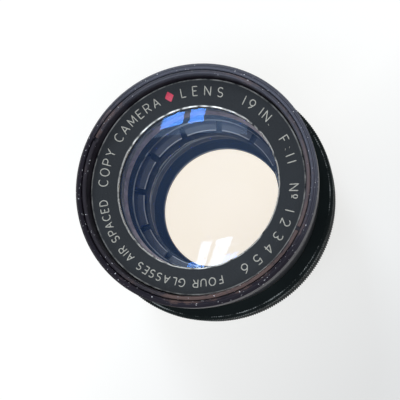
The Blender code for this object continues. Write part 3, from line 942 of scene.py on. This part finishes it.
def build_barrel(looks):
    margin, half = 2.7, 1.2  # play beyond the screw's travel, and half the slot's width
    slot = sector_tool(31.5, 38.6, DRIVE_SCREW_Z - half, DRIVE_SCREW_Z + half,
                       DRIVE_SCREW_AT - margin, DRIVE_SCREW_AT + RING_TURN + margin)
    turned("main_barrel", corners(
        (36.0, NECK_TOP), (36.0, 45.0), (BARREL_R, 45.0, 0.15, 0.8),
        (BARREL_R, SCALE_BOTTOM, 0.25, 0.9), (36.4, SCALE_BOTTOM), (36.4, 22.2), (34.3, 22.2, 0, 0),
        *thread(34.5, 0.35, 21.8, 7.0, 0.9, 1.3), (34.4, 6.6, 0.1), (33.9, 6.0, 0.2),
        (31.3, 6.0), (31.3, 22.9), (27.9, 22.9), (27.9, 24.0), (CHAMBER_R, 24.0),
        (CHAMBER_R, CHAMBER_TOP), (34.3, CHAMBER_TOP), (34.3, NECK_TOP)),
        looks["barrel"], cuts=[slot, rim_screw_tool(33.0)])

    notches = box_tool([((2.4, 2.6, 2.0), 38.6, 19.6, degrees) for degrees in SEAT_NOTCHES])
    turned("board_seat_ring", corners(
        (38.4, SEAT_TOP), (SEAT_R, 21.5, 0.1, 0.9), (SEAT_R, 19.6, 0.1, 0.9),
        (38.4, SEAT_BOTTOM, 0.1, 0.8), (34.8, SEAT_BOTTOM), (34.8, SEAT_TOP)),
        looks["barrel"], cuts=[notches])

    letters = Engraving("aperture_scale", looks["white_paint"], "barrel", 0.26)
    for stop in STOPS:
        degrees = SCALE_START + ring_turn_for(stop)
        engrave_on_barrel(letters, str(stop), degrees)
        letters.stroke([on_circle(BARREL_R - 0.05, degrees, height) for height in SCALE_LINE])
    engrave_on_barrel(letters, "F:", SCALE_START - 8.5)
    letters.finish("black_enamel")


def engrave_on_barrel(letters, text, degrees):
    """Text round the band that carries the scale, centred at an angle."""
    widths = sum(GLYPHS[letter][0] for letter in text) * SCALE_TEXT
    length = widths + 0.42 * SCALE_TEXT * (len(text) - 1)

    def place(u, v):
        at = degrees + math.degrees((u - length / 2) / BARREL_R)
        return on_circle(BARREL_R - 0.06, at, SCALE_FOOT_Z + v)

    write(letters, text, length, SCALE_TEXT, place)


# -------- aperture ring
TEETH = 324
TOOTH_DEPTH = 0.42
FLANGE_R = 41.0  # the teeth run out at this radius
TOOTH_STEPS = (0.0, 0.35, 1.0, 1.0, 0.35)  # share of the tooth depth cut at each step


def build_aperture_ring(looks):
    """The knurled ring: straight V teeth with flat crests, run out on its chamfers."""
    crest_top, crest_bottom = GRIP_TOP - 1.1, GRIP_BOTTOM + 0.4
    steps = TEETH * len(TOOTH_STEPS)

    def reach(radius, height, step):
        if radius < FLANGE_R:
            return radius
        depth = TOOTH_DEPTH * TOOTH_STEPS[step % len(TOOTH_STEPS)]
        if height > crest_top + 0.4:
            return radius - depth
        return min(radius, GRIP_R - depth)

    outline = corners(
        # The crests' wear shows pale bare metal: partly wear, partly a painted highlight along the
        # crests.
        (41.3, GRIP_TOP, 0.1, 0.75), (GRIP_R, crest_top, 0.1, 1.0), (GRIP_R, crest_bottom, 0.1, 1.0),
        (42.1, GRIP_BOTTOM, 0.1, 0.6), (GRIP_BORE_R, GRIP_BOTTOM),
        (GRIP_BORE_R, GRIP_TOP, 0.15, 0.8))
    hole = rod_tool([through(36, PAST_GRIP_R, DRIVE_SCREW_AT, DRIVE_SCREW_Z, DRIVE_HOLE_R)])
    sink = rod_tool([through(40, PAST_GRIP_R, DRIVE_SCREW_AT, DRIVE_SCREW_Z, 2.15)], 64)
    turned("aperture_ring", outline, looks["grip"], "aperture", steps=steps,
           cuts=[hole, sink], reach=reach)

    mesh = screw_mesh([(0, 0), (0.9, 0), (0.9, 8.9), (1.85, 8.9), (1.85, 10.2), (1.6, 10.5),
                       (0, 10.5)], slot_width=0.5, slot_depth=0.7)
    mesh.transform(radial(31.4, DRIVE_SCREW_AT, DRIVE_SCREW_Z))
    add_mesh("drive_screw_head", mesh, looks["steel"], "aperture", "drive_screw")

    index = Engraving("aperture_index", looks["white_paint"], "aperture", 0.4)
    line = (37.8, 39.0, 40.9)
    index.stroke([on_circle(radius, SCALE_START, GRIP_TOP - 0.08) for radius in line])
    index.finish("black_anodise")


# -------- rear pieces
def build_rear(looks):
    turned("rear_cell", corners(
        (31.0, 22.6), (31.0, 5.7, 0, 0), (34.2, 5.7, 0.2, 0.9), (34.2, 4.9), (33.95, 4.7),
        (33.95, 4.3), (34.2, 4.1), (34.2, 0.6, 0.2, 1.0), (33.6, 0.0, 0.2, 1.0),
        (31.0, 0.0, 0.2, 0.9), (28.4, 3.5, 0.1, 0.7), (28.4, 10.6, 0, 0), (CELL_BORE_R, 10.6),
        (CELL_BORE_R, 21.9), (CELL_LIP_R, 21.9), (CELL_LIP_R, 22.6)),
        looks["inside"])
    turned("rear_spacer", corners(
        (GLASS_R, 16.0, 0.05), (GLASS_R, 13.4, 0.05), (25.2, 13.5, 0.12, 0.9),
        (25.2, 16.0, 0.12, 0.9)),
        looks["inside"])
    notches = box_tool([((3.2, 1.6, 2.0), 27.2, 5.0, degrees) for degrees in RETAINER_NOTCHES])
    turned("rear_retaining_ring", corners(
        (28.1, 9.8), (28.1, 5.0, 0.1, 0.6), (26.4, 5.0, 0.1, 0.9), (22.8, 7.9, 0.1, 0.9),
        (22.8, 9.1, 0.1, 1.0), (27.0, 9.8)), looks["inside"], cuts=[notches])


# -------- floor, light, world and camera
def build_floor():
    """A pale floor that glows evenly, with painted light: the glow fades a little towards +X and -Y,
    a painted fall-off of light, and it is brighter and warmer under the lens, a painted pool of
    light where the lens's shadow falls.
    """
    half, drop = 1.6, 0.0002  # metres
    albedo, glow, painted_falloff, painted_pool_gain = 0.30, 0.72, 0.26, 0.24
    painted_pool_tint, table_tint = (1.0, 0.95, 0.895), (1.0, 0.99, 0.955)
    mesh = bpy.data.meshes.new("floor")
    mesh.from_pydata([(-half, -half, 0), (half, -half, 0), (half, half, 0), (-half, half, 0)], [],
                     [(0, 1, 2, 3)])
    look = Look("pale_floor", (albedo, albedo, albedo), 0.8)
    centre = look.add("ShaderNodeVectorMath", operation="LENGTH")
    look.join(look.place, centre.inputs[0])
    # Painted light: a brighter, warmer pool of glow within 30 to 40 mm of the axis, in the lens's
    # shadow, and a painted fall-off that dims the glow towards +X and -Y.
    painted_pool_mask = look.ramp(centre.outputs["Value"], 0.030, 0.040, 1.0, 0.0)
    x, y, _ = look.axes()
    falloff_direction = look.math("SUBTRACT", x, y)
    table = look.math("SUBTRACT", glow, look.ramp(falloff_direction, 0.0, 0.15, 0.0, painted_falloff))
    glow_with_painted_light = look.math("ADD", table, look.math("MULTIPLY", painted_pool_mask, painted_pool_gain))
    look.join(glow_with_painted_light, look.shader.inputs["Emission Strength"])
    look.join(look.mix(painted_pool_mask, table_tint, painted_pool_tint), look.shader.inputs["Emission Color"])
    mesh.materials.append(look.material)
    floor = link_object("floor", mesh)
    floor.location.z = -drop


def area_light(name, place, aim, size, power, colour):
    data = bpy.data.lights.new(name, "AREA")
    data.shape = "RECTANGLE"
    data.size, data.size_y = size
    data.energy = power
    data.color = colour
    light = link_object(name, data)
    light.location = place
    light.rotation_euler = (Vector(aim) - Vector(place)).to_track_quat("-Z", "Y").to_euler()


def build_light():
    """Two panes of a window overhead, past the top of the picture, and a pale, bluish room."""
    window_y, window_z, window_depth = 0.955, 1.0, 0.60  # metres
    panes = (("window_left", -0.54, -0.37), ("window_right", -0.325, -0.22))
    radiance, horizon, overhead = 19.0, 0.62, 0.40
    for name, left, right in panes:
        size = (right - left, window_depth)
        place = Vector(((left + right) / 2, window_y, window_z))
        power = radiance * math.pi * size[0] * size[1]
        area_light(name, place, place - Vector((0, 0, 1)), size, power, (0.82, 0.91, 1.0))
    rim = Vector((0, 0, RIM_TOP * MM))
    area_light("soft_ceiling", (0.0, -0.62, 1.1), rim, (1.7, 0.58), 10, (0.80, 0.89, 1.0))
    world = bpy.data.worlds.new("room")
    bpy.context.scene.world = world
    world.use_nodes = True
    tree = world.node_tree
    sky = tree.nodes["Background"]
    sky.inputs["Color"].default_value = (0.93, 0.95, 1.0, 1)
    direction = tree.nodes.new("ShaderNodeTexCoord")
    parts = tree.nodes.new("ShaderNodeSeparateXYZ")
    climb = tree.nodes.new("ShaderNodeMapRange")
    tree.links.new(direction.outputs["Generated"], parts.inputs[0])
    tree.links.new(parts.outputs["Z"], climb.inputs["Value"])
    for socket, number in (("From Min", 0.0), ("From Max", 0.6),
                           ("To Min", horizon), ("To Max", overhead)):
        climb.inputs[socket].default_value = number
    tree.links.new(climb.outputs["Result"], sky.inputs["Strength"])


def build_camera():
    """Stand the camera where the rim's centre and the optical axis fall as they should."""
    tilt, turn = math.radians(VIEW_TILT), math.radians(-(180 - VIEW_TURN))
    # The optical axis, pointing into the lens, as the camera sees it: right, down, ahead.
    inward = Vector((math.sin(tilt) * math.cos(turn), -math.sin(tilt) * math.sin(turn),
                     math.cos(tilt)))
    axis = -inward
    across = Vector((1, 0, 0)) - axis * axis.x
    across.normalize()
    upward = axis.cross(across)
    # Rows take camera directions (right, down, ahead) to the lens's X, Y and Z.
    to_lens = Matrix((across, upward, axis))
    data = bpy.data.cameras.new("camera")
    data.sensor_width = SENSOR
    data.lens = data.sensor_width * FOCAL_PX / FRAME_PX
    data.clip_start = 0.01
    camera = link_object("camera", data)
    rim = Vector((0, 0, RIM_TOP))
    location = (rim - to_lens @ RIM_IN_VIEW) * MM
    right = to_lens @ Vector((1, 0, 0))
    up = to_lens @ Vector((0, -1, 0))
    back = to_lens @ Vector((0, 0, -1))
    frame_matrix = Matrix((right, up, back)).transposed().to_4x4()
    camera.matrix_world = Matrix.Translation(location) @ frame_matrix
    bpy.context.scene.camera = camera


def make_looks():
    bronze, brass = (0.12, 0.078, 0.070), (0.30, 0.215, 0.11)
    return {
        # streaks also sets how strong the painted sheen is on the front of the rim and the lock
        # ring.
        "rim": enamel("worn_enamel", (0.011, 0.009, 0.014), bronze, 0.38, worn=-0.12, lathe=0.6,
                      chips=0.45, gloss=0.14, handled=0.06, streaks=0.8),
        "lock": enamel("worn_lock_ring", (0.013, 0.010, 0.015), bronze, 0.36, worn=-0.04,
                       lathe=0.6, chips=0.3, gloss=0.4, handled=0.16, streaks=0.6),
        "slate": slate_face(),
        "inside": enamel("black_enamel", (0.014, 0.016, 0.020), (0.30, 0.31, 0.33), 0.44,
                         worn=0.30, relief=0.04),
        "bare_bevel": steel("bare_bevel", (0.21, 0.19, 0.225), 0.38),
        "barrel": enamel("barrel_enamel", (0.013, 0.014, 0.017), brass, 0.38, worn=0.38,
                         chips=0.6),
        # The grip's pale bare colour on its crests is partly wear, partly a painted highlight.
        "grip": enamel("black_anodise", (0.006, 0.009, 0.009), (0.34, 0.36, 0.35), 0.60,
                       worn=0.30, gloss=0.06),
        "drive": enamel("drive_ring_black", (0.045, 0.044, 0.056), (0.4, 0.4, 0.42), 0.40,
                        worn=0.45, relief=0.04),
        "silver_paint": filled_paint("silver_paint", (0.55, 0.53, 0.46), (0.25, 0.24, 0.20)),
        "white_paint": filled_paint("white_paint", (0.75, 0.74, 0.68), (0.30, 0.28, 0.24)),
        "red_paint": filled_paint("red_paint", (0.72, 0.055, 0.11), (0.45, 0.03, 0.06)),
        "steel": steel("blued_steel", (0.055, 0.06, 0.075), 0.34),
        "blade": steel("iris_steel", (0.045, 0.05, 0.06), 0.42),
        "front_glass": optical_glass("front_coating", (0.06, 0.30, 1.0)),
        "inner_glass": optical_glass("inner_coating", (0.32, 0.44, 0.68)),
        "rear_glass": optical_glass("rear_coating", (0.24, 0.34, 0.60)),
        "glass_edge": Look("blackened_edge", (0.012, 0.013, 0.016), 0.5).material,
    }


bpy.context.scene.view_settings.view_transform = "Standard"
build_camera()
looks = make_looks()
build_front(looks)
build_name_ring(looks)
build_glasses(looks)
build_iris(looks)
build_barrel(looks)
build_aperture_ring(looks)
build_rear(looks)
build_floor()
build_light()
